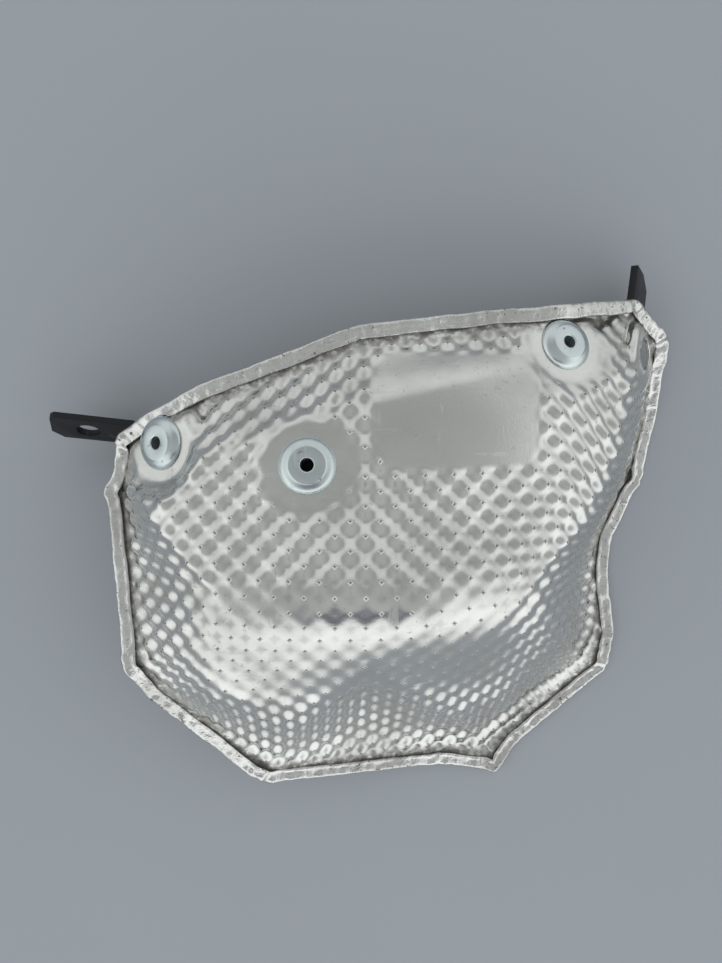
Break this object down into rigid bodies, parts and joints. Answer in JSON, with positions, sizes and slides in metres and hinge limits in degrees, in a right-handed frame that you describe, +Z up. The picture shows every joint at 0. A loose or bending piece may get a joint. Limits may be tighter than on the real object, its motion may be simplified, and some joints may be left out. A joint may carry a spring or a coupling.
{
  "type": "heat shield",
  "caption": "Double-skinned heat shield hood in embossed aluminium foil with a hemmed edge, riveted to a formed black steel mounting bracket",
  "frame": {"origin": "on the surface that the shield lies on, under the middle of the whole part's box", "axes": "+Z up from that surface, through the crown; +X from the bracket's ear to its leg; +Y from the long lower wall to the bracket's side"},
  "size_m": [0.2479, 0.2153, 0.0789],
  "materials": {
    "outer_foil": "embossed foil, weathered and dulled with fine grime",
    "inner_foil": "embossed foil, bright hem with fine scratches and dirt",
    "bracket_steel": "black electrocoat, satin",
    "rivet_zinc": "zinc plated, dull",
    "washer_zinc": "zinc plated, dull"
  },
  "bodies": {
    "root": {"front_skin": "outer_foil", "back_skin": "inner_foil", "bracket": "bracket_steel", "rivet_left": "rivet_zinc", "rivet_centre": "rivet_zinc", "rivet_right": "rivet_zinc", "washer_left": "washer_zinc", "washer_centre": "washer_zinc", "washer_right": "washer_zinc"}
  },
  "joints": []
}
